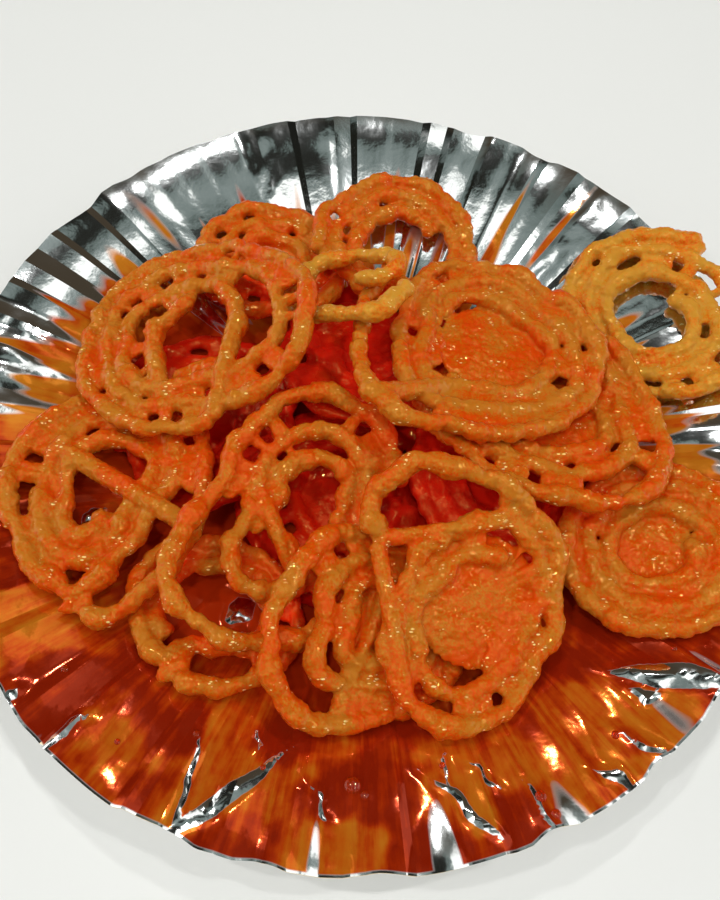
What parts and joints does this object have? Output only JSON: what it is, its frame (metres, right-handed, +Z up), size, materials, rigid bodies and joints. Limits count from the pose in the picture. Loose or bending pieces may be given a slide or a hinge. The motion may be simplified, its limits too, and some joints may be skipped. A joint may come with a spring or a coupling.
{
  "type": "plate of jalebi",
  "caption": "Heap of piped, fried and syrup-soaked spiral sweets on a round foil-faced plate with a pleated, flaring rim, for serving.",
  "frame": {"origin": "middle of the plate's flat underside, where it rests on the table", "axes": "+Z up out of the plate; the jalebi with the tall arch lies toward -Y, the one that leans on the rim toward +X"},
  "size_m": [0.2538, 0.2538, 0.0429],
  "materials": {
    "foil": "bright pressed foil on paper",
    "jalebi_deep": "syrup gloss, deep amber in the shade of the heap",
    "jalebi_amber": "syrup gloss, amber orange",
    "jalebi_gold": "syrup gloss, golden where thin"
  },
  "bodies": {
    "root": {"plate": "foil", "jalebi_base_middle": "jalebi_deep", "jalebi_base_left": "jalebi_deep", "jalebi_base_right": "jalebi_deep", "jalebi_base_back": "jalebi_deep", "jalebi_front_left_low": "jalebi_amber", "jalebi_front_right_low": "jalebi_amber", "jalebi_back_left": "jalebi_amber", "jalebi_back_middle": "jalebi_amber", "jalebi_left": "jalebi_amber", "jalebi_centre": "jalebi_amber", "jalebi_right_rim": "jalebi_gold", "jalebi_right": "jalebi_amber", "jalebi_front": "jalebi_amber", "jalebi_right_top": "jalebi_amber", "jalebi_small_top": "jalebi_gold", "jalebi_left_top": "jalebi_amber", "jalebi_front_top": "jalebi_amber"}
  },
  "joints": []
}
